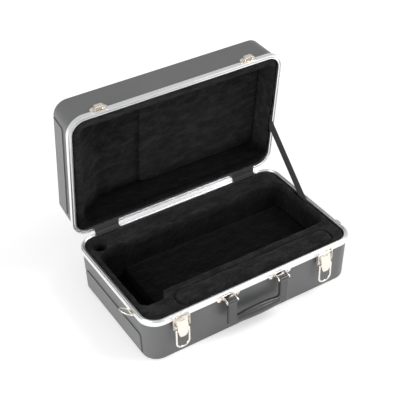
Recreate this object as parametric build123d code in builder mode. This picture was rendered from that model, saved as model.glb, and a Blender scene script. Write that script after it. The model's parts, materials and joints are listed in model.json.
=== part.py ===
"""A moulded instrument case with a metal rim, a hinged lid, two draw latches and a drop handle.

The origin is the centre of the base's underside. +X runs to the right along the length,
+Y to the hinges at the back, and +Z up. The lid stands open, held by its stay strap. Lid
pieces are drawn where they lie on the closed case, on planes that on_lid() swings open.
"""
from build123d import *
import os

# Case, in millimetres and degrees
case_length = 430.0
case_width = 262.0
base_height = 91.2
lid_height = 69.2
corner_radius = 33.0
lid_open_angle = 83.7
rim_gap = 0.3

# Moulded shells
wall = 2.8
draft = 1.8
lid_draft = 3.3
edge_radius = 4.0
inner_edge_radius = 3.0
shell_inset = 2.5
base_shell_corner = 30.5
lid_shell_corner = 29.5
pad_proud = 1.8
pad_end_gap = 33.0
pad_corner = 6.0
pad_edge_radius = 9.0
base_pad_drop = 43.0
lid_pad_rise = 28.0

# Metal rims: a channel over each shell's edge, a tongue below and a groove above
rim_width = 7.0
outer_leg = 8.4
inner_leg = 7.0
outer_leg_thickness = 1.6
inner_leg_thickness = 1.4
web = 1.5
tongue_inset = 2.8
tongue_width = 1.4
tongue_height = 2.0
groove_clearance = 0.8
groove_depth = 2.6
rim_edge = 0.8

# Plush-covered linings
lining_gap = 0.3
lining_drop = 1.0
lining_floor = 7.0
lining_edge_radius = 8.0
soft_corner = 14.0
recess_border_left = 13.5
recess_border_right = 9.0
recess_border_front = 62.0
recess_border_back = 41.5
bell_width = 46.0
bell_reach = 18.0
bed_height = 24.0
trough_border_left = 69.5
trough_border_right = 26.8
trough_border_front = 8.2
trough_divider = 17.0
trough_depth = 45.0
bolster_drop = 0.4
bolster_edge = 8.0
socket_border_left = 26.6
socket_border_back = 25.8
socket_radius = 12.5
socket_depth = 48.0
lid_border_left = 17.0
lid_border_right = 8.0
lid_border_front = 19.0
lid_border_back = 20.0
lid_cavity_depth = 50.0
lid_cove = ((7.7, 20.0), (51.5, 50.0))
lid_panel_start = 134.7
lid_panel_thickness = 6.0
plush_edge = 3.0

# Plates on the outside of the rims
seat = 0.1
sheet = 1.2
rivet_radius = 1.2
rivet_head_radius = 1.9
rivet_head = 0.8
rivet_clearance = 0.05
running_clearance = 0.05

# Draw latches, set out from the middle of the handle
front_middle = -5.7
latch_x = 148.2
latch_half_width = 16.0
latch_top_drop = 2.0
latch_height = 28.0
latch_flange_out = 6.4
latch_flange = 1.4
latch_pin_out = 3.4
latch_pin_drop = 5.5
latch_pin_radius = 1.0
latch_knuckle_radius = 1.9
latch_rivet_x = 12.4
latch_rivet_drop = 25.0
lever_half_width = 10.2
lever_tip_half_width = 7.2
lever_metal = 1.4
lever_length = 35.5
bail_pivot_out = 7.9
bail_pivot_below = 21.0
bail_wire_radius = 1.8
bail_half_width = 12.25
bail_corner = 11.3
hooked_out = 4.6
hooked_rise = 12.6
hook_half_width = 9.0
hook_slack = 0.6
hook_lip = 2.4
keeper_height = 15.0
keeper_rivet_x = 11.5
keeper_rivet_rise = 11.5

# Drop handle
handle_x = 53.2
handle_arm_width = 18.0
handle_arm_thickness = 8.0
handle_length = 54.5
handle_grip = 17.0
handle_swell = 4.0
handle_corner = 9.0
grip_radius = 9.5
grip_end_radius = 7.0
handle_edge = 2.5
handle_pin_out = 12.2
handle_pin_drop = 10.5
handle_pin_radius = 1.6
handle_pin_head_radius = 2.4
handle_eye_radius = 4.6
bracket_half_width = 23.0
bracket_height = 9.0
bracket_top_drop = 3.5
bracket_ear = 1.6
bracket_ear_clearance = 0.4
bracket_rivet_x = 18.0
bracket_rivet_drop = 10.4

# Carrying-strap rings
ring_from_front = 50.5
ring_wire_radius = 1.2
ring_width = 17.6
ring_reach = 23.6
ring_corner = 8.0
ring_leg_corner = 2.2
ring_out = 2.3
ring_drop = 3.2
left_ring_lift = 128.0
tab_width = 9.0
tab_metal = 0.8
tab_rivet_drop = 6.6
tab_rivet_spread = 2.4
tab_rivet_radius = 0.7
tab_rivet_head_radius = 1.2

# Hinges
hinge_x = 149.0
hinge_back = 3.6
hinge_up = 1.9
hinge_width = 48.0
hinge_knuckles = 5
hinge_knuckle_gap = 0.2
hinge_knuckle_radius = 3.0
hinge_pin_radius = 1.5
hinge_leaf = 24.0
hinge_relief = 0.4
hinge_rivet_reach = 17.0
hinge_rivet_spacing = 17.0

# Fabric across the hinge
tape_thickness = 1.0
tape_reach = 2.5
tape_bend = 3.0
strap_width = 20.0
strap_thickness = 1.2
strap_clearance = 0.6
strap_base_y = 6.6
strap_base_drop = 10.8
strap_lid_y = 24.7
strap_lid_rise = 11.8
strap_end_overlap = 9.0
strap_pocket_depth = 34.0
strap_rivet_radius = 3.2

# Worked-out places
half_length = case_length / 2
half_width = case_width / 2
lid_rim_z = base_height + rim_gap
lid_top_z = base_height + lid_height
pad_half_length = half_width - pad_end_gap
ring_y = ring_from_front - half_width
hinge_y = half_width + hinge_back
hinge_z = base_height + hinge_up
front_face = Plane.XZ.offset(half_width)
back_face = Plane(origin=(0, half_width, 0), x_dir=(-1, 0, 0), z_dir=(0, 1, 0))
left_face = Plane(origin=(-half_length, 0, 0), x_dir=(0, -1, 0), z_dir=(-1, 0, 0))
right_face = Plane(origin=(half_length, 0, 0), x_dir=(0, 1, 0), z_dir=(1, 0, 0))
lid_swing = Location((0, hinge_y, hinge_z), (1, 0, 0), -lid_open_angle) * Location((0, -hinge_y, -hinge_z))


def on_lid(plane):
    """A plane of the closed lid, where it stands with the lid open."""
    return Plane(lid_swing * plane.location)


def save(piece, name):
    """Labels a finished sub-part and writes its STEP file."""
    piece.part.label = name
    export_step(piece.part, f"parts/{name}.step")


def rim_outline(inset, mode=Mode.ADD):
    """The rim's outline in plan, drawn in by inset."""
    RectangleRounded(case_length - 2 * inset, case_width - 2 * inset, corner_radius - inset, mode=mode)


def tapered_block(rim_plane, depth, inset, corner, edge, slope=draft):
    """A solid block in plan like the rim, tapering by a slope over its depth to a rounded floor."""
    with BuildPart() as block:
        with BuildSketch(rim_plane):
            RectangleRounded(case_length - 2 * inset, case_width - 2 * inset, corner)
        extrude(amount=depth, taper=slope)
        floor_axis = Axis(rim_plane.origin, rim_plane.z_dir * (1 if depth > 0 else -1))
        fillet(block.faces().sort_by(floor_axis)[-1].edges(), radius=edge)
    return block.part


def rivet_spots(plane, spots, length, mode, radius=rivet_radius):
    """Rivet shanks at local points of a plane, going down into it, or the holes for them."""
    with BuildSketch(plane) as shanks:
        with Locations(*spots):
            Circle(radius + (rivet_clearance if mode == Mode.SUBTRACT else 0))
    extrude(shanks.sketch, amount=-length, mode=mode)


def rivets(plane, spots, length, head_radius=rivet_head_radius, radius=rivet_radius):
    """Round-headed rivets that stand on a plate's face and go down through it."""
    rivet_spots(plane, spots, length, Mode.ADD, radius)
    with BuildSketch(plane) as heads:
        with Locations(*spots):
            Circle(head_radius)
    extrude(heads.sketch, amount=rivet_head)


def wire_loop(points, radii, wire_radius):
    """A round wire along a filleted path in space."""
    with BuildLine() as path:
        FilletPolyline(*points, radius=radii)
    with BuildSketch(Plane(origin=path.line @ 0, z_dir=path.line % 0)) as section:
        Circle(wire_radius)
    sweep(section.sketch, path=path.line)


os.makedirs("parts", exist_ok=True)

# Rivet places, as local points of the face they go through
latch_sides = {"left": front_middle - latch_x, "right": front_middle + latch_x}
handle_sides = {"left": front_middle - handle_x, "right": front_middle + handle_x}
latch_spots = {
    side: [(x + s * latch_rivet_x, base_height - latch_rivet_drop) for s in (-1, 1)]
    for side, x in latch_sides.items()
}
keeper_spots = {
    side: [(x + s * keeper_rivet_x, base_height + keeper_rivet_rise) for s in (-1, 1)]
    for side, x in latch_sides.items()
}
bracket_spots = [
    (x + s * bracket_rivet_x, base_height - bracket_rivet_drop) for x in handle_sides.values() for s in (-1, 1)
]
hinge_spots = [(side * hinge_x + s * hinge_rivet_spacing, hinge_rivet_reach) for side in (-1, 1) for s in (-1, 0, 1)]
base_hinge_spots = [(x, hinge_z - reach) for x, reach in hinge_spots]
lid_hinge_spots = [(x, hinge_z + reach) for x, reach in hinge_spots]
front_spots = latch_spots["left"] + latch_spots["right"] + bracket_spots
tab_spots = {
    side: [(sign * ring_y + s * tab_rivet_spread, base_height - tab_rivet_drop) for s in (-1, 1)]
    for side, sign in (("left", -1), ("right", 1))
}
strap_base_spot = (strap_base_y, base_height - strap_base_drop)
lid_strap_spot = (strap_lid_y, base_height + rim_gap + strap_lid_rise)
strap_lid_end = (lid_swing * Location((0, *lid_strap_spot))).position
hole_depth = 12.0


def pads(floor, rise):
    """Cuts a grown shell down to its two ends, from the floor up to a rise, with rounded upper corners."""
    with BuildSketch(Plane(floor.origin, x_dir=floor.z_dir.cross(floor.x_dir), z_dir=floor.x_dir)) as side:
        with Locations((0, rise / 2 - pad_corner)):
            RectangleRounded(2 * pad_half_length, rise + 2 * pad_corner, pad_corner)
    extrude(side.sketch, amount=case_length, both=True, mode=Mode.INTERSECT)


# Base shell, with a raised pad on each end
base_depth = base_height - web
base_shell_top = Plane.XY.offset(base_depth)
base_outer = tapered_block(base_shell_top, -base_depth, shell_inset, base_shell_corner, edge_radius)
base_grown = tapered_block(
    base_shell_top, -base_depth, shell_inset - pad_proud, base_shell_corner + pad_proud, pad_edge_radius
)
base_inner = tapered_block(
    base_shell_top, wall - base_depth, shell_inset + wall, base_shell_corner - wall, inner_edge_radius
)
with BuildPart() as base_shell:
    add(base_grown)
    pads(Plane.XY, base_height - base_pad_drop)
    add(base_outer)
    add(base_inner, mode=Mode.SUBTRACT)
    rivet_spots(front_face, front_spots, hole_depth, Mode.SUBTRACT)
    rivet_spots(back_face, base_hinge_spots, hole_depth, Mode.SUBTRACT)
    rivet_spots(left_face, tab_spots["left"], hole_depth, Mode.SUBTRACT, tab_rivet_radius)
    rivet_spots(right_face, tab_spots["right"], hole_depth, Mode.SUBTRACT, tab_rivet_radius)
    rivet_spots(right_face, [strap_base_spot], hole_depth, Mode.SUBTRACT)
save(base_shell, "base_shell")

# Lid shell
lid_shell_z = lid_rim_z + groove_depth + web
lid_depth = lid_top_z - lid_shell_z
lid_shell_rim = on_lid(Plane.XY.offset(lid_shell_z))
lid_outer = tapered_block(lid_shell_rim, lid_depth, shell_inset, lid_shell_corner, edge_radius, lid_draft)
lid_grown = tapered_block(
    lid_shell_rim, lid_depth, shell_inset - pad_proud, lid_shell_corner + pad_proud, pad_edge_radius, lid_draft
)
lid_inner = tapered_block(
    lid_shell_rim, lid_depth - wall, shell_inset + wall, lid_shell_corner - wall, inner_edge_radius, lid_draft
)
with BuildPart() as lid_shell:
    add(lid_grown)
    pads(on_lid(Plane(origin=(0, 0, lid_top_z), x_dir=(1, 0, 0), z_dir=(0, 0, -1))), lid_height - lid_pad_rise)
    add(lid_outer)
    add(lid_inner, mode=Mode.SUBTRACT)
    rivet_spots(on_lid(front_face), keeper_spots["left"] + keeper_spots["right"], hole_depth, Mode.SUBTRACT)
    rivet_spots(on_lid(back_face), lid_hinge_spots, hole_depth, Mode.SUBTRACT)
    rivet_spots(on_lid(right_face), [lid_strap_spot], hole_depth, Mode.SUBTRACT)
save(lid_shell, "lid_shell")

# Base rim: outer leg, web, inner leg, and a tongue that stops short of the hinge tapes
with BuildPart() as base_rim:
    for low, high, outer, inner in (
        (-outer_leg, 0, 0, outer_leg_thickness),
        (-web, 0, 0, rim_width),
        (-inner_leg, 0, rim_width - inner_leg_thickness, rim_width),
        (0, tongue_height, tongue_inset, tongue_inset + tongue_width),
    ):
        with BuildSketch(Plane.XY.offset(base_height + low)):
            rim_outline(outer)
            rim_outline(inner, mode=Mode.SUBTRACT)
        extrude(amount=high - low)
    with BuildSketch(Plane.XY.offset(base_height)):
        with Locations((-hinge_x, half_width), (hinge_x, half_width)):
            Rectangle(hinge_width + 2 * tape_bend, 2 * rim_width)
    extrude(amount=tongue_height, mode=Mode.SUBTRACT)
    rivet_spots(left_face, tab_spots["left"], 2 * outer_leg_thickness, Mode.SUBTRACT, tab_rivet_radius)
    rivet_spots(right_face, tab_spots["right"], 2 * outer_leg_thickness, Mode.SUBTRACT, tab_rivet_radius)
    outer_top = base_rim.edges().filter_by_position(Axis.Z, base_height - rim_edge / 2, base_height + rim_edge / 2)
    outermost = [e for e in outer_top if max(abs(e.center().X) / half_length, abs(e.center().Y) / half_width) > 0.995]
    fillet(outermost, radius=rim_edge)
save(base_rim, "base_rim")

# Lid rim: the same channel upside down, with the tongue's groove in its face
groove_outer = tongue_inset - groove_clearance
groove_inner = tongue_inset + tongue_width + groove_clearance
with BuildPart() as lid_rim:
    for low, high, outer, inner in (
        (0, outer_leg, 0, outer_leg_thickness),
        (0, groove_depth + web, 0, groove_outer),
        (groove_depth, groove_depth + web, 0, rim_width),
        (0, groove_depth + web, groove_inner, rim_width),
        (0, inner_leg, rim_width - inner_leg_thickness, rim_width),
    ):
        with BuildSketch(on_lid(Plane.XY.offset(lid_rim_z + low))):
            rim_outline(outer)
            rim_outline(inner, mode=Mode.SUBTRACT)
        extrude(amount=high - low)
save(lid_rim, "lid_rim")

# Base lining: a plush-covered tray round the instrument recess and the accessory trough
lining_inset = rim_width + lining_gap
lining_corner = corner_radius - lining_inset
lining_top = base_height - lining_drop
floor_z = wall + lining_gap
cavity_z = floor_z + lining_floor
recess_left = lining_inset + recess_border_left - half_length
recess_right = half_length - lining_inset - recess_border_right
recess_front = lining_inset + recess_border_front - half_width
recess_back = half_width - lining_inset - recess_border_back
bell_right = recess_left + bell_width
bell_front = recess_front - bell_reach
trough_left = lining_inset + trough_border_left - half_length
trough_right = half_length - lining_inset - trough_border_right
trough_front = lining_inset + trough_border_front - half_width
trough_back = recess_front - trough_divider
socket_x = lining_inset + socket_border_left - half_length
socket_y = half_width - lining_inset - socket_border_back
base_lining_block = tapered_block(
    Plane.XY.offset(lining_top), floor_z - lining_top, lining_inset, lining_corner, lining_edge_radius
)


def well(plane, left, right, front, back, corner):
    """A face in plan between four sides, with rounded corners."""
    with BuildSketch(plane) as plan:
        with Locations(((left + right) / 2, (front + back) / 2)):
            RectangleRounded(right - left, back - front, corner)
    return plan.sketch


strap_x = half_length - rim_width - strap_clearance - strap_thickness
strap_pocket = rim_width + strap_clearance + strap_thickness + strap_clearance + 2 * rivet_head
with BuildPart() as base_lining:
    add(base_lining_block)
    recess = well(Plane.XY.offset(cavity_z), recess_left, recess_right, recess_front, recess_back, soft_corner)
    extrude(recess, amount=base_height, mode=Mode.SUBTRACT)
    bell = well(Plane.XY.offset(cavity_z), recess_left, bell_right, bell_front, recess_back, soft_corner)
    extrude(bell, amount=base_height, mode=Mode.SUBTRACT)
    trough = well(Plane.XY.offset(lining_top), trough_left, trough_right, trough_front, trough_back, soft_corner)
    extrude(trough, amount=-trough_depth, mode=Mode.SUBTRACT)
    with BuildSketch(Plane.XY.offset(lining_top)):
        with Locations((socket_x, socket_y)):
            Circle(socket_radius)
    extrude(amount=-socket_depth, mode=Mode.SUBTRACT)
    with BuildSketch(Plane.XY.offset(lining_top)):
        with Locations((half_length, strap_base_y + strap_end_overlap)):
            Rectangle(2 * strap_pocket, strap_pocket_depth + strap_width)
    extrude(amount=-strap_pocket_depth, mode=Mode.SUBTRACT)
save(base_lining, "base_lining")

# Bed under the instrument, and the crowned bolster that fills the trough in front of it
with BuildPart() as instrument_bed:
    bed = well(
        Plane.XY.offset(cavity_z + lining_gap),
        bell_right,
        recess_right - lining_gap,
        recess_front + lining_gap,
        recess_back - lining_gap,
        soft_corner,
    )
    extrude(bed, amount=bed_height)
    fillet(instrument_bed.faces().sort_by(Axis.Z)[-1].edges(), radius=plush_edge)
save(instrument_bed, "instrument_bed")

with BuildPart() as front_bolster:
    bolster = well(
        Plane.XY.offset(base_height - bolster_drop),
        trough_left + lining_gap,
        trough_right - lining_gap,
        trough_front + lining_gap,
        trough_back - lining_gap,
        soft_corner,
    )
    extrude(bolster, amount=bolster_drop + lining_gap - lining_drop - trough_depth)
    fillet(front_bolster.faces().sort_by(Axis.Z)[-1].edges(), radius=bolster_edge)
save(front_bolster, "front_bolster")

# Lid lining: a tray that faces down when the lid is shut, and a raised panel on its right
lid_lining_z = lid_rim_z + lining_drop
lid_lining_rim = on_lid(Plane.XY.offset(lid_lining_z))
lid_lining_depth = lid_top_z - wall - lining_gap - lid_lining_z
lid_lining_block = tapered_block(
    lid_lining_rim, lid_lining_depth, lining_inset, lining_corner, lining_edge_radius, lid_draft
)
lid_left = lining_inset + lid_border_left - half_length
lid_right = half_length - lining_inset - lid_border_right
lid_front = lining_inset + lid_border_front - half_width
lid_back = half_width - lining_inset - lid_border_back
with BuildPart() as cavity_block:
    cavity = well(lid_lining_rim, lid_left, lid_right, lid_front, lid_back, soft_corner)
    extrude(cavity, amount=lid_cavity_depth)
    with BuildSketch(on_lid(Plane.XZ.offset(-half_width))):
        with BuildLine():
            rim_and_floor = (lid_lining_z, lid_lining_z + lid_cavity_depth)
            Polyline(
                (lid_left, rim_and_floor[0]),
                *[(lid_left + x, lid_lining_z + depth) for x, depth in lid_cove],
                (lid_right, rim_and_floor[1]),
                (lid_right, rim_and_floor[0]),
                close=True,
            )
        make_face()
    extrude(amount=case_width, mode=Mode.INTERSECT)
lid_cavity = cavity_block.part
with BuildPart() as lid_lining:
    add(lid_lining_block)
    add(lid_cavity, mode=Mode.SUBTRACT)
    with BuildSketch(lid_lining_rim):
        with Locations((half_length, lid_strap_spot[0])):
            Rectangle(2 * strap_pocket, strap_pocket_depth + strap_width)
    extrude(amount=strap_pocket_depth, mode=Mode.SUBTRACT)
save(lid_lining, "lid_lining")

panel_back = lid_lining_rim.offset(lid_cavity_depth - lining_gap)
with BuildPart() as lid_panel:
    panel = well(
        panel_back,
        lid_left + lid_panel_start,
        lid_right - lining_gap,
        lid_front + lining_gap,
        lid_back - lining_gap,
        soft_corner,
    )
    extrude(panel, amount=-lid_panel_thickness)
save(lid_panel, "lid_panel")

# Latch plates: a back plate with two side flanges that carry the lever's pin
latch_top = base_height - latch_top_drop
latch_pin_z = base_height - latch_pin_drop
latch_seat = front_face.offset(seat)
latch_front = front_face.offset(seat + sheet)
latch_pin_y = -half_width - latch_pin_out
bail_pivot_y = -half_width - bail_pivot_out
bail_pivot_z = latch_pin_z - bail_pivot_below
hooked_y = -half_width - hooked_out
hooked_z = base_height + hooked_rise
bail_length = ((hooked_y - bail_pivot_y) ** 2 + (hooked_z - bail_pivot_z) ** 2) ** 0.5


def side_profile(x, points):
    """A face in the plane across the front at x, from points given as outward reach and height."""
    with BuildSketch(Plane.YZ.offset(x)) as profile:
        with BuildLine():
            Polyline(*[(-half_width - out, z) for out, z in points], close=True)
        make_face()
    return profile.sketch


def across(x, out, z, radius, half, mode=Mode.ADD):
    """A round bar or hole along X, centred on x."""
    with BuildSketch(Plane.YZ.offset(x - half)) as disc:
        with Locations((-half_width - out, z)):
            Circle(radius)
    extrude(disc.sketch, amount=2 * half, mode=mode)


for side, x in latch_sides.items():
    with BuildPart() as latch_plate:
        with BuildSketch(latch_seat):
            with Locations((x, latch_top - latch_height / 2)):
                RectangleRounded(2 * latch_half_width, latch_height, latch_flange)
        extrude(amount=sheet)
        for sign in (-1, 1):
            edge_x = x + sign * latch_half_width
            flange = side_profile(
                edge_x - (latch_flange if sign > 0 else 0),
                [
                    (seat, latch_top),
                    (latch_flange_out, latch_top),
                    (latch_flange_out, latch_top - latch_height + latch_flange_out),
                    (latch_flange_out / 2, latch_top - latch_height),
                    (seat, latch_top - latch_height),
                ],
            )
            extrude(flange, amount=latch_flange)
        across(x, latch_pin_out, latch_pin_z, latch_pin_radius, latch_half_width, Mode.SUBTRACT)
        rivet_spots(latch_front, latch_spots[side], 2 * sheet, Mode.SUBTRACT)
    save(latch_plate, f"{side}_latch_plate")

    with BuildPart() as latch_pin:
        across(x, latch_pin_out, latch_pin_z, latch_pin_radius, latch_half_width)
    save(latch_pin, f"{side}_latch_pin")

    # Lever: a channel of sheet that turns on the pin, narrowing to a rounded tip
    tip_z = latch_pin_z - lever_length
    face_out = bail_pivot_out + bail_wire_radius + lever_metal + running_clearance
    back_out = seat + sheet + running_clearance + 0.2
    outline = [
        (back_out + 0.3, latch_pin_z),
        (latch_pin_out + latch_knuckle_radius, latch_pin_z),
        (face_out - 1.0, latch_pin_z - bail_pivot_below * 0.45),
        (face_out, bail_pivot_z),
        (face_out, tip_z),
        (face_out - lever_metal, tip_z),
        (face_out - lever_metal, bail_pivot_z - 8.0),
        (back_out + 2.5, bail_pivot_z - 5.0),
        (back_out, bail_pivot_z + 3.0),
    ]
    hollow = [
        (-2.0, latch_pin_z - latch_knuckle_radius - running_clearance),
        (latch_pin_out + latch_knuckle_radius - lever_metal, latch_pin_z - latch_knuckle_radius - running_clearance),
        (face_out - 1.0 - lever_metal, latch_pin_z - bail_pivot_below * 0.45),
        (face_out - lever_metal, bail_pivot_z),
        (face_out - lever_metal, tip_z - 2.0),
        (-2.0, tip_z - 2.0),
    ]
    with BuildPart() as lever:
        extrude(side_profile(x - lever_half_width, outline), amount=2 * lever_half_width)
        across(x, latch_pin_out, latch_pin_z, latch_knuckle_radius, lever_half_width)
        inside = side_profile(x - lever_half_width + lever_metal, hollow)
        extrude(inside, amount=2 * (lever_half_width - lever_metal), mode=Mode.SUBTRACT)
        with BuildSketch(front_face):
            with BuildLine():
                top = latch_pin_z + 2 * latch_knuckle_radius
                shoulder = bail_pivot_z - 3.0
                tip = tip_z + lever_tip_half_width * 0.8
                Polyline(
                    (x - lever_tip_half_width, tip),
                    (x - lever_half_width, shoulder),
                    (x - lever_half_width, top),
                    (x + lever_half_width, top),
                    (x + lever_half_width, shoulder),
                    (x + lever_tip_half_width, tip),
                )
                ThreePointArc((x + lever_tip_half_width, tip), (x, tip_z), (x - lever_tip_half_width, tip))
            make_face()
        extrude(amount=2 * face_out, mode=Mode.INTERSECT)
        across(
            x, latch_pin_out, latch_pin_z, latch_pin_radius + running_clearance, latch_half_width, Mode.SUBTRACT
        )
        across(
            x, bail_pivot_out, bail_pivot_z, bail_wire_radius + running_clearance, latch_half_width, Mode.SUBTRACT
        )
    save(lever, f"{side}_latch_lever")

    # Bail: a wire loop that hangs from the lever's sides and hooks over the keeper
    end_x = lever_half_width - 2 * lever_metal
    low = bail_pivot_z - bail_length
    with BuildPart() as bail:
        wire_loop(
            [
                (x - end_x, bail_pivot_y, bail_pivot_z),
                (x - bail_half_width, bail_pivot_y, bail_pivot_z),
                (x - bail_half_width, bail_pivot_y, low),
                (x + bail_half_width, bail_pivot_y, low),
                (x + bail_half_width, bail_pivot_y, bail_pivot_z),
                (x + end_x, bail_pivot_y, bail_pivot_z),
            ],
            [bail_wire_radius + 0.3, bail_corner, bail_corner, bail_wire_radius + 0.3],
            bail_wire_radius,
        )
    save(bail, f"{side}_latch_bail")

    # Keeper on the lid: a plate with a turned-up hook for the bail
    hook_z = hooked_z - bail_wire_radius - hook_slack
    lip_out = hooked_out + bail_wire_radius + 0.2
    with BuildPart() as keeper:
        with BuildSketch(on_lid(latch_seat)):
            with Locations((x, lid_rim_z + seat + keeper_height / 2)):
                RectangleRounded(2 * latch_half_width, keeper_height, keeper_height / 3)
        extrude(amount=sheet)
        for low, high, reach_in, reach_out in (
            (hook_z - sheet, hook_z, seat, lip_out + sheet),
            (hook_z - sheet, hook_z + hook_lip, lip_out, lip_out + sheet),
        ):
            with BuildSketch(on_lid(front_face.offset(reach_in))):
                with Locations((x, (low + high) / 2)):
                    Rectangle(2 * hook_half_width, high - low)
            extrude(amount=reach_out - reach_in)
        rivet_spots(on_lid(latch_front), keeper_spots[side], 2 * sheet, Mode.SUBTRACT)
    save(keeper, f"{side}_keeper")

# Rivets through the latch plates, keepers and handle brackets
shell_skin = shell_inset + wall + seat + sheet
with BuildPart() as latch_rivets:
    rivets(latch_front, latch_spots["left"] + latch_spots["right"], shell_skin)
save(latch_rivets, "latch_rivets")

with BuildPart() as keeper_rivets:
    rivets(on_lid(latch_front), keeper_spots["left"] + keeper_spots["right"], shell_skin)
save(keeper_rivets, "keeper_rivets")

# Handle brackets: a plate with two ears each, and the pins between the ears
handle_pin_z = base_height - handle_pin_drop
ear_root = bracket_height + bracket_top_drop
ear_gap = handle_arm_width / 2 + bracket_ear_clearance
for side, x in handle_sides.items():
    with BuildPart() as bracket:
        with BuildSketch(latch_seat):
            with Locations((x, base_height - bracket_top_drop - bracket_height / 2)):
                RectangleRounded(2 * bracket_half_width, bracket_height, bracket_height / 3)
        extrude(amount=sheet)
        for start in (x - ear_gap - bracket_ear, x + ear_gap):
            ear = side_profile(
                start,
                [
                    (seat, base_height - bracket_top_drop),
                    (seat + 2 * sheet, base_height - bracket_top_drop),
                    (handle_pin_out + handle_pin_head_radius, handle_pin_z + handle_pin_radius),
                    (handle_pin_out + handle_pin_head_radius, handle_pin_z - handle_pin_head_radius),
                    (handle_pin_out - handle_pin_head_radius, handle_pin_z - handle_pin_head_radius),
                    (seat, base_height - ear_root),
                ],
            )
            extrude(ear, amount=bracket_ear)
        across(x, handle_pin_out, handle_pin_z, handle_pin_radius, bracket_half_width, Mode.SUBTRACT)
        rivet_spots(latch_front, bracket_spots, 2 * sheet, Mode.SUBTRACT)
    save(bracket, f"{side}_handle_bracket")

with BuildPart() as handle_pins:
    reach = ear_gap + bracket_ear
    for x in handle_sides.values():
        across(x, handle_pin_out, handle_pin_z, handle_pin_radius, reach + sheet)
        for end in (-1, 1):
            across(x + end * (reach + sheet / 2), handle_pin_out, handle_pin_z, handle_pin_head_radius, sheet / 2)
save(handle_pins, "handle_pins")

with BuildPart() as bracket_rivets:
    rivets(latch_front, bracket_spots, shell_skin)
save(bracket_rivets, "bracket_rivets")

# Handle: two arms and a swelling grip, one moulding
handle_half = handle_x + handle_arm_width / 2
handle_window = handle_x - handle_arm_width / 2
handle_low = handle_pin_z - handle_length
handle_back = handle_pin_out - handle_arm_thickness / 2
with BuildPart() as handle:
    with BuildSketch(Plane(origin=(front_middle, -half_width - handle_back, 0), x_dir=(1, 0, 0), z_dir=(0, -1, 0))):
        with BuildLine():
            FilletPolyline(
                (-handle_half, handle_pin_z),
                (-handle_half, handle_low),
                (handle_half, handle_low),
                (handle_half, handle_pin_z),
                radius=handle_corner,
            )
            Line((handle_half, handle_pin_z), (handle_window, handle_pin_z))
            Line((handle_window, handle_pin_z), (handle_window, handle_low + handle_grip))
            ThreePointArc(
                (handle_window, handle_low + handle_grip),
                (0, handle_low + handle_grip + handle_swell),
                (-handle_window, handle_low + handle_grip),
            )
            Line((-handle_window, handle_low + handle_grip), (-handle_window, handle_pin_z))
            Line((-handle_window, handle_pin_z), (-handle_half, handle_pin_z))
        make_face()
    extrude(amount=handle_arm_thickness)
    long_edges = handle.edges().filter_by_position(Axis.Z, 0, handle_pin_z - 1)
    fillet(long_edges, radius=handle_edge)
    grip_axis = Axis((front_middle, -half_width - handle_pin_out, handle_low + grip_radius), (1, 0, 0))
    with BuildSketch(Plane(origin=grip_axis.position, x_dir=(1, 0, 0), z_dir=(0, -1, 0))):
        with BuildLine():
            ThreePointArc((-handle_window, grip_end_radius), (0, grip_radius), (handle_window, grip_end_radius))
            Line((handle_window, grip_end_radius), (handle_window, 0))
            Line((handle_window, 0), (-handle_window, 0))
            Line((-handle_window, 0), (-handle_window, grip_end_radius))
        make_face()
    revolve(axis=grip_axis)
    for x in handle_sides.values():
        across(x, handle_pin_out, handle_pin_z, handle_eye_radius, handle_arm_width / 2)
        across(
            x,
            handle_pin_out,
            handle_pin_z,
            handle_pin_radius + running_clearance,
            handle_arm_width,
            Mode.SUBTRACT,
        )
save(handle, "handle")

# Rings for a carrying strap, one on each end, each in a folded tab
ring_z = base_height - ring_drop
tab_low = base_height - outer_leg
ring_eye = ring_wire_radius + running_clearance
for side, sign, face in (("left", -1, left_face), ("right", 1, right_face)):
    across_y = sign * ring_y
    ring_x = sign * (half_length + seat + ring_out)
    with BuildPart() as tab:
        with BuildSketch(face.offset(seat)):
            with Locations((across_y, (tab_low + ring_z) / 2)):
                Rectangle(tab_width, ring_z - tab_low)
        extrude(amount=tab_metal)
        with BuildSketch(Plane.XZ.offset(-ring_y - tab_width / 2)):
            with Locations((ring_x, ring_z)):
                Circle(ring_eye + tab_metal)
        extrude(amount=tab_width)
        with BuildSketch(Plane.XZ.offset(-ring_y - tab_width / 2)):
            with Locations((ring_x, ring_z)):
                Circle(ring_eye)
        extrude(amount=tab_width, mode=Mode.SUBTRACT)
        rivet_spots(face.offset(seat + tab_metal), tab_spots[side], 2 * tab_metal, Mode.SUBTRACT, tab_rivet_radius)
    save(tab, f"{side}_ring_tab")

    lift = left_ring_lift if side == "left" else 0
    ring_frame = Plane(
        origin=(ring_x, ring_y, ring_z),
        x_dir=(0, 1, 0),
        z_dir=Vector(sign, 0, 0).rotate(Axis.Y, lift),
    )
    with BuildPart() as ring:
        with BuildLine(ring_frame) as ring_path:
            half = ring_width / 2
            FilletPolyline(
                (half, 0),
                (half, -sign * ring_reach),
                (-half, -sign * ring_reach),
                (-half, 0),
                radius=[ring_leg_corner, ring_corner, ring_corner, ring_leg_corner],
                close=True,
            )
        with BuildSketch(Plane(origin=ring_path.line @ 0, z_dir=ring_path.line % 0)):
            Circle(ring_wire_radius)
        sweep(path=ring_path.line)
    save(ring, f"{side}_ring")

with BuildPart() as tab_rivets:
    tab_skin = shell_inset + wall + seat + tab_metal
    rivets(left_face.offset(seat + tab_metal), tab_spots["left"], tab_skin, tab_rivet_head_radius, tab_rivet_radius)
    rivets(right_face.offset(seat + tab_metal), tab_spots["right"], tab_skin, tab_rivet_head_radius, tab_rivet_radius)
save(tab_rivets, "tab_rivets")

# Hinges: two leaves with alternating knuckles on one pin, each side
knuckle_pitch = hinge_width / hinge_knuckles
leaf_plane_out = seat
leaf_seat_in = -shell_inset + seat


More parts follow.
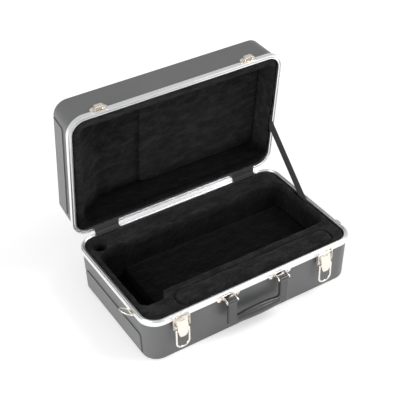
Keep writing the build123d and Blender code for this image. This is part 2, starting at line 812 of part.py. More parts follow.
def hinge_leaf_piece(x, up, first):
    """One leaf, drawn on the closed case. up is 1 for the lid's leaf and -1 for the base's."""
    place = on_lid if up > 0 else (lambda plane: plane)
    side_plane = place(Plane.YZ.offset(x - hinge_width / 2))
    valance_end = base_height + up * (outer_leg + rim_gap + seat)
    tip = hinge_z + up * hinge_leaf
    with BuildSketch(side_plane) as leaf:
        with BuildLine():
            Polyline(
                (half_width + leaf_plane_out, hinge_z),
                (half_width + leaf_plane_out + sheet, hinge_z),
                (half_width + leaf_plane_out + sheet, valance_end + up * sheet),
                (half_width + leaf_seat_in + sheet, valance_end + up * 2 * sheet),
                (half_width + leaf_seat_in + sheet, tip),
                (half_width + leaf_seat_in, tip),
                (half_width + leaf_seat_in, valance_end + up * sheet),
                (half_width + leaf_plane_out, valance_end),
                close=True,
            )
        make_face()
    extrude(leaf.sketch, amount=hinge_width)
    for k in range(hinge_knuckles):
        start = x - hinge_width / 2 + k * knuckle_pitch
        own = k % 2 == first
        with BuildSketch(place(Plane.YZ.offset(start if own else start - hinge_knuckle_gap))) as knuckle:
            with Locations((hinge_y, hinge_z)):
                Circle(hinge_knuckle_radius if own else hinge_knuckle_radius + hinge_relief)
        if own:
            extrude(knuckle.sketch, amount=knuckle_pitch)
        else:
            extrude(knuckle.sketch, amount=knuckle_pitch + 2 * hinge_knuckle_gap, mode=Mode.SUBTRACT)
    with BuildSketch(side_plane) as bore:
        with Locations((hinge_y, hinge_z)):
            Circle(hinge_pin_radius + (running_clearance if up > 0 else 0))
    extrude(bore.sketch, amount=hinge_width, mode=Mode.SUBTRACT)


for side, x in (("left", -hinge_x), ("right", hinge_x)):
    with BuildPart() as base_leaf:
        hinge_leaf_piece(x, -1, 0)
        rivet_spots(back_face, base_hinge_spots, hole_depth, Mode.SUBTRACT)
    save(base_leaf, f"{side}_hinge_base_leaf")
    with BuildPart() as lid_leaf:
        hinge_leaf_piece(x, 1, 1)
        rivet_spots(on_lid(back_face), lid_hinge_spots, hole_depth, Mode.SUBTRACT)
    save(lid_leaf, f"{side}_hinge_lid_leaf")
    with BuildPart() as hinge_pin:
        with BuildSketch(Plane.YZ.offset(x - hinge_width / 2)):
            with Locations((hinge_y, hinge_z)):
                Circle(hinge_pin_radius)
        extrude(amount=hinge_width)
    save(hinge_pin, f"{side}_hinge_pin")

leaf_face = back_face.offset(leaf_seat_in + sheet)
leaf_skin = wall + seat + sheet
with BuildPart() as hinge_base_rivets:
    rivets(leaf_face, base_hinge_spots, leaf_skin)
save(hinge_base_rivets, "hinge_base_rivets")
with BuildPart() as hinge_lid_rivets:
    rivets(on_lid(leaf_face), lid_hinge_spots, leaf_skin)
save(hinge_lid_rivets, "hinge_lid_rivets")

# Fabric tapes over the rims at the hinges, as they lie with the lid open
tape_mid = tape_thickness / 2 + seat
tape_z = base_height + tape_mid
tape_end = half_width - rim_width - tape_reach
tape_corner = half_width - tape_thickness / 2 - hinge_relief
lid_end = on_lid(Plane.XY.offset(lid_rim_z - tape_mid)).from_local_coords((0, tape_end, 0))
for side, x in (("left", -hinge_x), ("right", hinge_x)):
    with BuildPart() as tape:
        with BuildSketch(Plane.YZ.offset(x - hinge_width / 2)):
            with BuildLine():
                FilletPolyline((tape_end, tape_z), (tape_corner, tape_z), (lid_end.Y, lid_end.Z), radius=tape_bend)
            trace(line_width=tape_thickness)
        extrude(amount=hinge_width)
    save(tape, f"{side}_hinge_tape")

# Stay strap, pulled straight from the base's right side to the lid's, and its rivets
strap_low = Vector(0, *strap_base_spot)
along = (strap_lid_end - strap_low).normalized()
strap_length = (strap_lid_end - strap_low).length + 2 * strap_end_overlap
strap_frame = Plane(origin=(strap_x, *strap_base_spot), x_dir=along, z_dir=(1, 0, 0))
with BuildPart() as stay_strap:
    with BuildSketch(strap_frame):
        with Locations((strap_length / 2 - strap_end_overlap, 0)):
            Rectangle(strap_length, strap_width)
    extrude(amount=strap_thickness)
    with BuildSketch(strap_frame):
        with Locations((0, 0), (strap_length - 2 * strap_end_overlap, 0)):
            Circle(rivet_radius + rivet_clearance)
    extrude(amount=strap_thickness, mode=Mode.SUBTRACT)
save(stay_strap, "stay_strap")

strap_skin = half_length - shell_inset - strap_x
for name, place, spot in (
    ("strap_base_rivet", Plane(origin=(strap_x, 0, 0), x_dir=(0, -1, 0), z_dir=(-1, 0, 0)), strap_base_spot),
    ("strap_lid_rivet", on_lid(Plane(origin=(strap_x, 0, 0), x_dir=(0, -1, 0), z_dir=(-1, 0, 0))), lid_strap_spot),
):
    with BuildPart() as strap_rivet:
        rivets(place, [(-spot[0], spot[1])], strap_skin, strap_rivet_radius)
    save(strap_rivet, name)
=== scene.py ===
"""The moulded case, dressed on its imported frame: plush linings, rim, latches, handle, rings and straps."""
import json
import math

import bpy
from mathutils import Matrix, Vector


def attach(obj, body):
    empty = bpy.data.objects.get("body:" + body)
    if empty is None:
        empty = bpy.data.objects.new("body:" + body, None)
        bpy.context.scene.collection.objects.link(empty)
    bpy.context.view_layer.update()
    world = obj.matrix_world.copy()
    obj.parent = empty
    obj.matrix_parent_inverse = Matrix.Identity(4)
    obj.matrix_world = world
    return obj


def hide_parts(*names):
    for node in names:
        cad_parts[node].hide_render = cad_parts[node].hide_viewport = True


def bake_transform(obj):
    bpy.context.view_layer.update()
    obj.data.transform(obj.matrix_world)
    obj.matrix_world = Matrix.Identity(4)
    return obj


# Sizes in metres, most of them as in part.py: the case
HALF_LENGTH = 0.215
HALF_WIDTH = 0.131
BASE_HEIGHT = 0.0912
RIM_GAP = 0.0003
RIM_WIDTH = 0.007
HINGE_Y = 0.1346
HINGE_Z = 0.0931
LID_OPEN = math.radians(83.7)
FRONT_MIDDLE = -0.0057
LATCH_X = 0.1482
HANDLE_X = 0.0532
HINGE_X = 0.149
HINGE_WIDTH = 0.048
SEAT = 0.0001
SHEET = 0.0012

# How close counts as at a place, and how far along an axis a direction runs or faces
NEAR = 0.0001
ALONG = 0.9
TOWARDS = 0.5

# Draw latches
LATCH_TOP = BASE_HEIGHT - 0.002
LATCH_HEIGHT = 0.028
LATCH_HALF_WIDTH = 0.016
LATCH_FLANGE_OUT = 0.0064
LATCH_PIN_Z = BASE_HEIGHT - 0.0055
LEVER_HALF_WIDTH = 0.0102
LEVER_METAL = 0.0014
LEVER_LENGTH = 0.0355
BAIL_PIVOT_Z = LATCH_PIN_Z - 0.021
LATCH_RIVET_X = 0.0124
LATCH_RIVET_DROP = 0.025
KEEPER_HEIGHT = 0.015
KEEPER_RIVET = 0.0115
HOOK_TOP_Z = BASE_HEIGHT + 0.0102
HOOK_HALF_WIDTH = 0.009
HOOK_OUT = 0.0078
HOOK_LIP = 0.0024

# Handle's pins and brackets
PIN_OUT = 0.0122
PIN_Z = BASE_HEIGHT - 0.0105
ARM_WIDTH = 0.018
BRACKET_TOP = BASE_HEIGHT - 0.0035
BRACKET_HEIGHT = 0.009
BRACKET_HALF_WIDTH = 0.023
BRACKET_EAR = 0.0016
BRACKET_CLEARANCE = 0.0004
BRACKET_RIVET_X = 0.018
BRACKET_RIVET_DROP = 0.0104

# Strap rings' tabs, and rivets
RING_Y = -0.0805
TAB_METAL = 0.0008
TAB_RIVET_DROP = 0.0066
TAB_RIVET_SPREAD = 0.0024
SHELL_INSET = 0.0025
RIVET_HEAD = 0.0008
HINGE_RIVET_REACH = 0.017
HINGE_RIVET_SPACING = 0.017

# Linings: how far apart the foam's uneven places and the pile's tufts are, and how the tufts stand
FOAM_SCALE = 0.030
PILE_SCALE = 0.007
PILE_HEIGHT = 0.0016
PILE_LEVEL = 0.8

# Stay strap
STRAP_X = HALF_LENGTH - RIM_WIDTH - 0.0018
STRAP_THICKNESS = 0.0012
STRAP_WIDTH = 0.020
STRAP_OVERLAP = 0.009
STRAP_STEPS = 60
SELVEDGE = 0.0015
STRAP_LOW = (0.0066, BASE_HEIGHT - 0.0108)
STRAP_LID = (0.0247, BASE_HEIGHT + RIM_GAP + 0.0118)

# Hinge tapes
TAPE_THICKNESS = 0.001
TAPE_START = HALF_WIDTH - RIM_WIDTH - 0.0025
TAPE_CORNER = 0.1272
TAPE_BEND = 0.003
TAPE_RISE = 0.011
TAPE_LEAN = 0.00015
TAPE_STEPS = 12
TAPE_Z = BASE_HEIGHT + 0.0006


def lid_turn():
    """The turn that takes a place on the closed lid to where it stands open."""
    pivot = Vector((0, HINGE_Y, HINGE_Z))
    return Matrix.Translation(pivot) @ Matrix.Rotation(-LID_OPEN, 4, "X") @ Matrix.Translation(-pivot)


# Mesh helpers

def only(piece):
    """Selects one object and makes it active."""
    bpy.ops.object.select_all(action="DESELECT")
    piece.select_set(True)
    bpy.context.view_layer.objects.active = piece


def apply_modifier(piece, kind, **settings):
    """Adds a modifier with its settings and applies it."""
    only(piece)
    modifier = piece.modifiers.new(kind.title(), kind)
    for name, value in settings.items():
        setattr(modifier, name, value)
    bpy.ops.object.modifier_apply(modifier=modifier.name)


def settle(piece, name):
    """Names a piece and puts its place into its mesh."""
    only(piece)
    bpy.ops.object.transform_apply(location=True, rotation=True, scale=True)
    piece.name = name
    piece.data.name = name
    return piece


def dress(piece, slot, node, body=None):
    """Gives a finished piece its finish, hides the node that it stands for and, when a body is given,
    fastens it to that body.
    """
    piece.data.materials.clear()
    piece.data.materials.append(finishes[slot])
    if body:
        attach(piece, body)
    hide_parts(node)


def slab(name, low, high):
    """A box between two corners, to be shaped."""
    bpy.ops.object.select_all(action="DESELECT")
    middle = [(a + b) / 2 for a, b in zip(low, high)]
    bpy.ops.mesh.primitive_cube_add(size=1, location=middle, scale=[b - a for a, b in zip(low, high)])
    return settle(bpy.context.object, name)


def pick(piece, kind, test):
    """Opens a piece in edit mode with the corners, edges or faces selected that pass a test."""
    only(piece)
    bpy.ops.object.mode_set(mode="EDIT")
    bpy.ops.mesh.select_mode(type=kind)
    bpy.ops.mesh.select_all(action="DESELECT")
    bpy.ops.object.mode_set(mode="OBJECT")
    mesh = piece.data
    if kind == "VERT":
        for corner in mesh.vertices:
            corner.select = test(corner.co)
    elif kind == "EDGE":
        for edge in mesh.edges:
            a, b = (mesh.vertices[i].co for i in edge.vertices)
            edge.select = test((a + b) / 2, (b - a).normalized())
    else:
        for face in mesh.polygons:
            face.select = test(face.center, face.normal)
    bpy.ops.object.mode_set(mode="EDIT")


def done():
    """Leaves edit mode."""
    bpy.ops.object.mode_set(mode="OBJECT")


def cut(piece, axis, places):
    """Cuts a piece across one axis at some places."""
    only(piece)
    bpy.ops.object.mode_set(mode="EDIT")
    normal = [0, 0, 0]
    normal[axis] = 1
    for place in places:
        bpy.ops.mesh.select_all(action="SELECT")
        bpy.ops.mesh.bisect(plane_co=[n * place for n in normal], plane_no=normal)
    done()


def pull(piece, test, move):
    """Extrudes the faces that pass a test."""
    pick(piece, "FACE", test)
    bpy.ops.mesh.extrude_region_move(TRANSFORM_OT_translate={"value": move})
    done()


def shift(piece, test, move, size=(1, 1, 1)):
    """Moves and scales the corners that pass a test, about their own middle."""
    pick(piece, "VERT", test)
    bpy.ops.transform.resize(value=size)
    bpy.ops.transform.translate(value=move)
    done()


def round_edges(piece, test, radius, steps=4):
    """Rounds the edges that pass a test."""
    pick(piece, "EDGE", test)
    bpy.ops.mesh.bevel(offset=radius, segments=steps, affect="EDGES")
    done()


def soften(piece, radius, levels=0):
    """Rounds every sharp edge a little and shades the piece smooth."""
    sharp = math.radians(35)
    apply_modifier(piece, "BEVEL", width=radius, segments=2, limit_method="ANGLE", angle_limit=sharp)
    if levels:
        apply_modifier(piece, "SUBSURF", levels=levels, render_levels=levels)
    only(piece)
    bpy.ops.object.shade_smooth_by_angle(angle=math.radians(40))


def copy_piece(piece, name, place):
    """A copy with its own mesh, put somewhere by a matrix."""
    only(piece)
    bpy.ops.object.duplicate(linked=False)
    twin = bpy.context.object
    twin.matrix_world = place
    return settle(twin, name)


def join(pieces, name):
    """Makes several pieces one."""
    bpy.ops.object.select_all(action="DESELECT")
    for piece in pieces:
        piece.select_set(True)
    bpy.context.view_layer.objects.active = pieces[0]
    bpy.ops.object.join()
    return settle(bpy.context.object, name)


def front(out):
    """The place in y that lies out from the rim's front face."""
    return -HALF_WIDTH - out


def face_outwards(piece):
    """Turns every face of a piece outwards."""
    only(piece)
    bpy.ops.object.mode_set(mode="EDIT")
    bpy.ops.mesh.select_all(action="SELECT")
    bpy.ops.mesh.normals_make_consistent(inside=False)
    done()


def copy_of_node(node, name):
    """A merged copy of a CAD node's mesh, as a new object."""
    piece = bpy.data.objects.new(name, frame["nodes"][node].data.copy())
    bpy.context.scene.collection.objects.link(piece)
    only(piece)
    bpy.ops.object.mode_set(mode="EDIT")
    bpy.ops.mesh.select_all(action="SELECT")
    bpy.ops.mesh.remove_doubles(threshold=0.00002)
    bpy.ops.object.mode_set(mode="OBJECT")
    return piece


# Material helpers

def new_material(name):
    """A node material with its Principled shader and its links."""
    material = bpy.data.materials.new(name)
    material.use_nodes = True
    tree = material.node_tree
    return material, tree, tree.nodes["Principled BSDF"]


def object_coordinates(tree, scale=(1, 1, 1)):
    """Object coordinates through a Mapping node."""
    place = tree.nodes.new("ShaderNodeTexCoord")
    mapping = tree.nodes.new("ShaderNodeMapping")
    mapping.inputs["Scale"].default_value = scale
    tree.links.new(place.outputs["Object"], mapping.inputs["Vector"])
    return mapping.outputs["Vector"]


def noise(tree, vector, scale, detail=3.0, roughness=0.55):
    """A noise texture's value."""
    node = tree.nodes.new("ShaderNodeTexNoise")
    node.inputs["Scale"].default_value = scale
    node.inputs["Detail"].default_value = detail
    node.inputs["Roughness"].default_value = roughness
    tree.links.new(vector, node.inputs["Vector"])
    return node.outputs["Fac"]


def ramp(tree, value, stops):
    """A colour ramp over a value, from (position, colour) stops."""
    node = tree.nodes.new("ShaderNodeValToRGB")
    node.color_ramp.elements[0].position, node.color_ramp.elements[0].color = stops[0]
    node.color_ramp.elements[1].position, node.color_ramp.elements[1].color = stops[-1]
    for position, colour in stops[1:-1]:
        node.color_ramp.elements.new(position).color = colour
    tree.links.new(value, node.inputs["Fac"])
    return node.outputs["Color"]


def to_range(tree, value, low, high):
    """Maps a value from 0..1 to low..high."""
    node = tree.nodes.new("ShaderNodeMapRange")
    node.inputs["To Min"].default_value = low
    node.inputs["To Max"].default_value = high
    tree.links.new(value, node.inputs["Value"])
    return node.outputs["Result"]


def bump(tree, shader, height, distance, strength):
    """Adds a bump from a height value, over any bump that is there already."""
    node = tree.nodes.new("ShaderNodeBump")
    node.inputs["Distance"].default_value = distance
    node.inputs["Strength"].default_value = strength
    tree.links.new(height, node.inputs["Height"])
    if shader.inputs["Normal"].is_linked:
        tree.links.new(shader.inputs["Normal"].links[0].from_socket, node.inputs["Normal"])
    tree.links.new(node.outputs["Normal"], shader.inputs["Normal"])


def grey(value, warmth=0.0):
    """A grey colour, a little warm or cool."""
    return (value * (1 + warmth), value, value * (1 - warmth), 1)


def moulded_plastic(name, level, roughness, grain):
    """Grained moulded plastic, a little uneven in tone and gloss."""
    material, tree, shader = new_material(name)
    shader.inputs["Specular IOR Level"].default_value = 0.8
    vector = object_coordinates(tree)
    broad = noise(tree, vector, scale=9.0, detail=4.0)
    tone = ramp(tree, broad, [(0.3, grey(level * 0.92, -0.01)), (0.7, grey(level * 1.08, -0.01))])
    tree.links.new(tone, shader.inputs["Base Color"])
    handled = noise(tree, vector, scale=60.0)
    tree.links.new(to_range(tree, handled, roughness - 0.06, roughness + 0.06), shader.inputs["Roughness"])
    bump(tree, shader, noise(tree, vector, scale=1400.0, detail=2.0), distance=grain, strength=0.35)
    return material


def metal(name, colour, roughness):
    """Plated or satin metal with fine marks."""
    material, tree, shader = new_material(name)
    shader.inputs["Metallic"].default_value = 1.0
    vector = object_coordinates(tree)
    broad = noise(tree, vector, scale=30.0, detail=4.0)
    dark = tuple(c * 0.95 for c in colour)
    tone = ramp(tree, broad, [(0.3, dark + (1,)), (0.65, colour + (1,))])
    tree.links.new(tone, shader.inputs["Base Color"])
    marks = noise(tree, vector, scale=260.0)
    tree.links.new(to_range(tree, marks, roughness * 0.85, roughness * 1.15), shader.inputs["Roughness"])
    bump(tree, shader, noise(tree, vector, scale=500.0), distance=0.00001, strength=0.2)
    return material


def multiplied(tree, first, second):
    """The product of two values."""
    node = tree.nodes.new("ShaderNodeMath")
    node.operation = "MULTIPLY"
    tree.links.new(first, node.inputs[0])
    tree.links.new(second, node.inputs[1])
    return node.outputs["Value"]


def height_of(tree, vector, low, high):
    """How far a vector's z lies between two heights, from 0 to 1."""
    split = tree.nodes.new("ShaderNodeSeparateXYZ")
    tree.links.new(vector, split.inputs["Vector"])
    node = tree.nodes.new("ShaderNodeMapRange")
    node.inputs["From Min"].default_value = low
    node.inputs["From Max"].default_value = high
    tree.links.new(split.outputs["Z"], node.inputs["Value"])
    return node.outputs["Result"]


def plush(name, level):
    """Short black pile with brushed streaks, tufts and strands, with painted shade low down in each tray and
    painted highlights at the rims.
    """
    material, tree, shader = new_material(name)
    stretched = object_coordinates(tree, scale=(0.5, 1, 1))
    vector = object_coordinates(tree)
    brushed = noise(tree, stretched, scale=75.0, detail=5.0, roughness=0.65)
    tufts = noise(tree, vector, scale=340.0, detail=3.0, roughness=0.7)
    pile = noise(tree, vector, scale=1000.0, detail=2.0, roughness=0.7)
    streaks = ramp(tree, brushed, [(0.38, grey(0.36)), (0.52, grey(0.60)), (0.66, grey(0.92))])
    # By height, painted light and shade: painted shade down in the base's tray, a painted highlight at its
    # rim, painted shade at the lid's foot, light up the lid and a painted highlight along its top edge
    painted_light_and_shade = ramp(
        tree, height_of(tree, vector, low=0.0, high=0.36),
        [(0.12, grey(0.22)), (0.19, grey(0.35)), (0.235, grey(0.9)), (0.255, grey(1.15)),
         (0.275, grey(0.18)), (0.36, grey(0.18)), (0.43, grey(1.05)), (0.90, grey(1.05)), (0.96, grey(1.4))],
    )
    shade = multiplied(tree, streaks, to_range(tree, tufts, low=0.0, high=2.0))
    shade = multiplied(tree, shade, to_range(tree, pile, low=0.4, high=1.6))
    shade = multiplied(tree, shade, painted_light_and_shade)
    tone = ramp(tree, shade, [(0.0, grey(0.0)), (1.0, (level * 3.0, level * 3.0, level * 3.1, 1))])
    tree.links.new(tone, shader.inputs["Base Color"])
    shader.inputs["Roughness"].default_value = 1.0
    shader.inputs["Specular IOR Level"].default_value = 0.0
    shader.inputs["Sheen Weight"].default_value = 0.05
    shader.inputs["Sheen Roughness"].default_value = 0.5
    bump(tree, shader, brushed, distance=0.003, strength=0.6)
    bump(tree, shader, tufts, distance=0.0016, strength=0.9)
    bump(tree, shader, pile, distance=0.0008, strength=0.9)
    return material


def ribs(tree, vector, direction, scale):
    """Even ribs across one axis of a vector."""
    node = tree.nodes.new("ShaderNodeTexWave")
    node.bands_direction = direction
    node.inputs["Scale"].default_value = scale
    node.inputs["Distortion"].default_value = 0.4
    tree.links.new(vector, node.inputs["Vector"])
    return node.outputs["Fac"]


def woven(name, level, scale):
    """Woven cloth: ribs one way crossed by ribs the other way."""
    material, tree, shader = new_material(name)
    vector = object_coordinates(tree)
    weave = multiplied(tree, ribs(tree, vector, "Y", scale), ribs(tree, vector, "Z", scale))
    worn = to_range(tree, noise(tree, vector, scale=40.0), low=0.7, high=1.2)
    shade = multiplied(tree, to_range(tree, weave, low=0.55, high=1.2), worn)
    tone = ramp(tree, shade, [(0.2, grey(level * 0.3)), (1.0, grey(level * 1.7))])
    tree.links.new(tone, shader.inputs["Base Color"])
    shader.inputs["Roughness"].default_value = 0.85
    shader.inputs["Specular IOR Level"].default_value = 0.25
    bump(tree, shader, weave, distance=0.0004, strength=0.6)
    return material


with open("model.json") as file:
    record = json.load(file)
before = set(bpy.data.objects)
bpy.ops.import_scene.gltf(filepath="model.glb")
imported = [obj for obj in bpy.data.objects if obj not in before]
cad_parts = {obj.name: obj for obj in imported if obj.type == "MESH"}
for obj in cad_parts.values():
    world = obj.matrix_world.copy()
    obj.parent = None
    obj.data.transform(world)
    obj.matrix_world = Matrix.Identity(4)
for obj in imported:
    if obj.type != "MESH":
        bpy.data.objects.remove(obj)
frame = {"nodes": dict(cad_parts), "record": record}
bpy.ops.object.select_all(action="DESELECT")
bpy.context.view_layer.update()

# Camera, at the photograph's viewing angle
camera_place = (-0.73284, -1.13218, 1.20349)
camera_right = Vector((0.84480, -0.53494, -0.01223))
camera_up = Vector((0.33199, 0.50611, 0.79601))
camera_back = -Vector((0.41963, 0.67653, -0.60516))
camera_data = bpy.data.cameras.new("camera")
camera_data.sensor_width = 36.0
camera_data.lens = 87.81
camera_data.clip_end = 30.0
camera = bpy.data.objects.new("camera", camera_data)
bpy.context.scene.collection.objects.link(camera)
turn = Matrix((camera_right, camera_up, camera_back)).transposed().to_4x4()
camera.matrix_world = Matrix.Translation(camera_place) @ turn
bpy.context.scene.camera = camera
bpy.context.scene.view_settings.view_transform = "Standard"

# Floor, light and world. What the camera and shiny or clear pieces see of the floor glows a little,
# so that it reads as white, and it keeps the shadow.
bpy.ops.mesh.primitive_plane_add(size=14, location=(0, 0, 0))
floor = settle(bpy.context.object, "floor")
floor_material, floor_tree, floor_shader = new_material("pale_floor")
floor_shader.inputs["Base Color"].default_value = (0.78, 0.78, 0.78, 1)
floor_shader.inputs["Roughness"].default_value = 1.0
floor_shader.inputs["Specular IOR Level"].default_value = 0.0
floor_glow = floor_tree.nodes.new("ShaderNodeEmission")
floor_glow.inputs["Strength"].default_value = 0.36
floor_sum = floor_tree.nodes.new("ShaderNodeAddShader")
floor_mix = floor_tree.nodes.new("ShaderNodeMixShader")
floor_rays = floor_tree.nodes.new("ShaderNodeLightPath")
seen = floor_rays.outputs["Is Camera Ray"]
for ray in ("Is Glossy Ray", "Is Transmission Ray"):
    either = floor_tree.nodes.new("ShaderNodeMath")
    either.operation = "MAXIMUM"
    floor_tree.links.new(seen, either.inputs[0])
    floor_tree.links.new(floor_rays.outputs[ray], either.inputs[1])
    seen = either.outputs["Value"]
floor_tree.links.new(floor_shader.outputs["BSDF"], floor_sum.inputs[0])
floor_tree.links.new(floor_glow.outputs["Emission"], floor_sum.inputs[1])
floor_tree.links.new(seen, floor_mix.inputs["Fac"])
floor_tree.links.new(floor_shader.outputs["BSDF"], floor_mix.inputs[1])
floor_tree.links.new(floor_sum.outputs["Shader"], floor_mix.inputs[2])
floor_tree.links.new(floor_mix.outputs["Shader"], floor_tree.nodes["Material Output"].inputs["Surface"])
floor.data.materials.append(floor_material)

world = bpy.data.worlds.new("studio")
world.use_nodes = True
world.node_tree.nodes["Background"].inputs["Color"].default_value = (1, 1, 1, 1)
world.node_tree.nodes["Background"].inputs["Strength"].default_value = 0.62
bpy.context.scene.world = world


def softbox(name, place, size, watts):
    """A square area light that faces the middle of the case."""
    data = bpy.data.lights.new(name, "AREA")
    data.shape = "SQUARE"
    data.size = size
    data.energy = watts
    lamp = bpy.data.objects.new(name, data)
    bpy.context.scene.collection.objects.link(lamp)
    lamp.location = place
    aim = Vector((0, 0, 0.1)) - Vector(place)
    lamp.rotation_euler = aim.to_track_quat("-Z", "Y").to_euler()


softbox("main_softbox", place=(1.7, -1.0, 2.2), size=1.4, watts=40)
softbox("left_softbox", place=(-2.6, -0.7, 0.9), size=1.8, watts=52)

# Finishes, by the part's slots
finishes = {
    "shell_plastic": moulded_plastic("shell_plastic", level=0.10, roughness=0.40, grain=0.0004),
    "handle_plastic": moulded_plastic("handle_plastic", level=0.036, roughness=0.28, grain=0.0002),
    "rim_metal": metal("rim_metal", colour=(0.92, 0.92, 0.93), roughness=0.36),
    "nickel": metal("nickel", colour=(0.86, 0.81, 0.745), roughness=0.22),
    "plush": plush("black_plush", level=0.010),
    "webbing": woven("strap_webbing", level=0.045, scale=160.0),
    "tape": woven("tape_cloth", level=0.045, scale=300.0),
}
for part in frame["record"]["subparts"]:
    node = frame["nodes"][part["node"]]
    node.data.materials.clear()
    node.data.materials.append(finishes[part["material_slot"]])


# Plush linings

def soft_lining(node, name, body, voxel, rounds, dent, swell=0.0):
    """Plush over foam: a node's form with every edge rounded over, uneven foam and tufts of pile.

    The foam is uneven by dent in all, and its highest places stand out by swell from the node's face.
    """
    piece = copy_of_node(node, name)
    apply_modifier(piece, "REMESH", mode="VOXEL", voxel_size=voxel)
    apply_modifier(piece, "SMOOTH", factor=0.5, iterations=rounds)
    foam = (FOAM_SCALE, dent, 1.0 - swell / dent)
    pile = (PILE_SCALE, PILE_HEIGHT, PILE_LEVEL)
    for size, depth, level in (foam, pile):
        cloud = bpy.data.textures.new(name, "CLOUDS")
        cloud.noise_scale = size
        apply_modifier(
            piece, "DISPLACE", texture=cloud, texture_coords="GLOBAL", strength=depth, mid_level=level
        )
    only(piece)
    bpy.ops.object.shade_smooth()
    dress(piece, "plush", node, body)


soft_lining("base_lining", "base_lining_plush", "base", voxel=0.0024, rounds=14, dent=0.0020, swell=0.0004)
soft_lining(
    "instrument_bed", "instrument_bed_plush", "base",
    voxel=0.0026, rounds=20, dent=0.0030, swell=0.0012,
)
soft_lining(
    "front_bolster", "front_bolster_plush", "base",
    voxel=0.0022, rounds=16, dent=0.0030, swell=0.0038,
)
soft_lining("lid_lining", "lid_lining_plush", "lid", voxel=0.0024, rounds=22, dent=0.0020)
soft_lining(
    "lid_panel", "lid_panel_plush", "lid",
    voxel=0.0024, rounds=10, dent=0.0015, swell=0.0006,
)


# Draw latches: the left one is modelled and copied to the right

left_x = FRONT_MIDDLE - LATCH_X
to_right_latch = Matrix.Translation((2 * LATCH_X, 0, 0))


def latch_plate():
    """A plate with two turned-up flanges, their lower corners sloped."""
    bottom = LATCH_TOP - LATCH_HEIGHT
    slope = 0.0055
    flange = front(0.005)
    plate = slab(
        "left_latch_plate_sheet",
        (left_x - LATCH_HALF_WIDTH, front(SEAT + SHEET), bottom),
        (left_x + LATCH_HALF_WIDTH, front(SEAT), LATCH_TOP),
    )
    inner = LATCH_HALF_WIDTH - SHEET
    cut(plate, 0, (left_x - inner, left_x + inner))
    pull(
        plate,
        lambda c, n: n.y < -ALONG and abs(c.x - left_x) > inner,
        (0, SEAT + SHEET - LATCH_FLANGE_OUT, 0),
    )
    shift(plate, lambda c: c.y < flange and c.z < bottom + 0.001, (0, 0, slope))
    round_edges(
        plate,
        lambda m, d: abs(d.x) > ALONG and m.y < flange and m.z < LATCH_TOP - 0.005,
        radius=0.003,
    )
    soften(plate, radius=0.00035)
    return plate


def latch_lever():
    """A pressed lever: rolled over its pin, bellied out over the bail's pivots, narrowing to a round tip.

    Each row of corners has its height, how far it stands out and its width as a share of the lever's.
    """
    top = LATCH_PIN_Z + 0.0019
    tip = LATCH_PIN_Z - LEVER_LENGTH
    crown = 0.005
    slot_low, slot_high = LATCH_PIN_Z - 0.0035, LATCH_PIN_Z - 0.0010
    slot_depth = 0.0026
    rows = {
        top: (0.0030, 1.0),
        LATCH_PIN_Z + 0.0012: (0.0044, 1.0),
        slot_high: (0.0054, 1.0),
        slot_low: (0.0064, 1.0),
        LATCH_PIN_Z - 0.0060: (0.0072, 1.0),
        LATCH_PIN_Z - 0.0130: (0.0095, 1.0),
        BAIL_PIVOT_Z: (0.0109, 1.0),
        BAIL_PIVOT_Z - 0.0030: (0.0110, 0.98),
        BAIL_PIVOT_Z - 0.0060: (0.0110, 0.86),
        BAIL_PIVOT_Z - 0.0105: (0.0109, 0.78),
        BAIL_PIVOT_Z - 0.0140: (0.0108, 0.66),
        tip + 0.0012: (0.0107, 0.50),
        tip: (0.0106, 0.30),
    }
    lever = slab(
        "left_lever_sheet",
        (left_x - LEVER_HALF_WIDTH, front(LEVER_METAL), tip),
        (left_x + LEVER_HALF_WIDTH, front(0), top),
    )
    cut(lever, 2, list(rows)[1:-1])
    side = LEVER_HALF_WIDTH - LEVER_METAL
    cut(lever, 0, (left_x - side, left_x - crown, left_x, left_x + crown, left_x + side))
    shift(lever, lambda c: abs(c.x - left_x) < NEAR, (0, -0.0007, 0))
    shift(lever, lambda c: abs(abs(c.x - left_x) - crown) < NEAR, (0, -0.0005, 0))

    def in_row(place):
        """Tests for the corners of one row."""
        return lambda c: abs(c.z - place) < NEAR

    for z, (out, width) in rows.items():
        shift(lever, in_row(z), (0, LEVER_METAL - out, 0), (width, 1, 1))
    pull(
        lever,
        lambda c, n: n.y > TOWARDS and abs(c.x - left_x) > side and c.z > BAIL_PIVOT_Z - 0.003,
        (0, 0.004, 0),
    )
    pick(
        lever, "FACE",
        lambda c, n: n.y < -TOWARDS and abs(c.x - left_x) < 0.006 and slot_low < c.z < slot_high,
    )
    bpy.ops.mesh.inset(thickness=0.0002)
    bpy.ops.transform.translate(value=(0, slot_depth, 0))
    done()
    soften(lever, radius=0.0003, levels=1)
    return lever


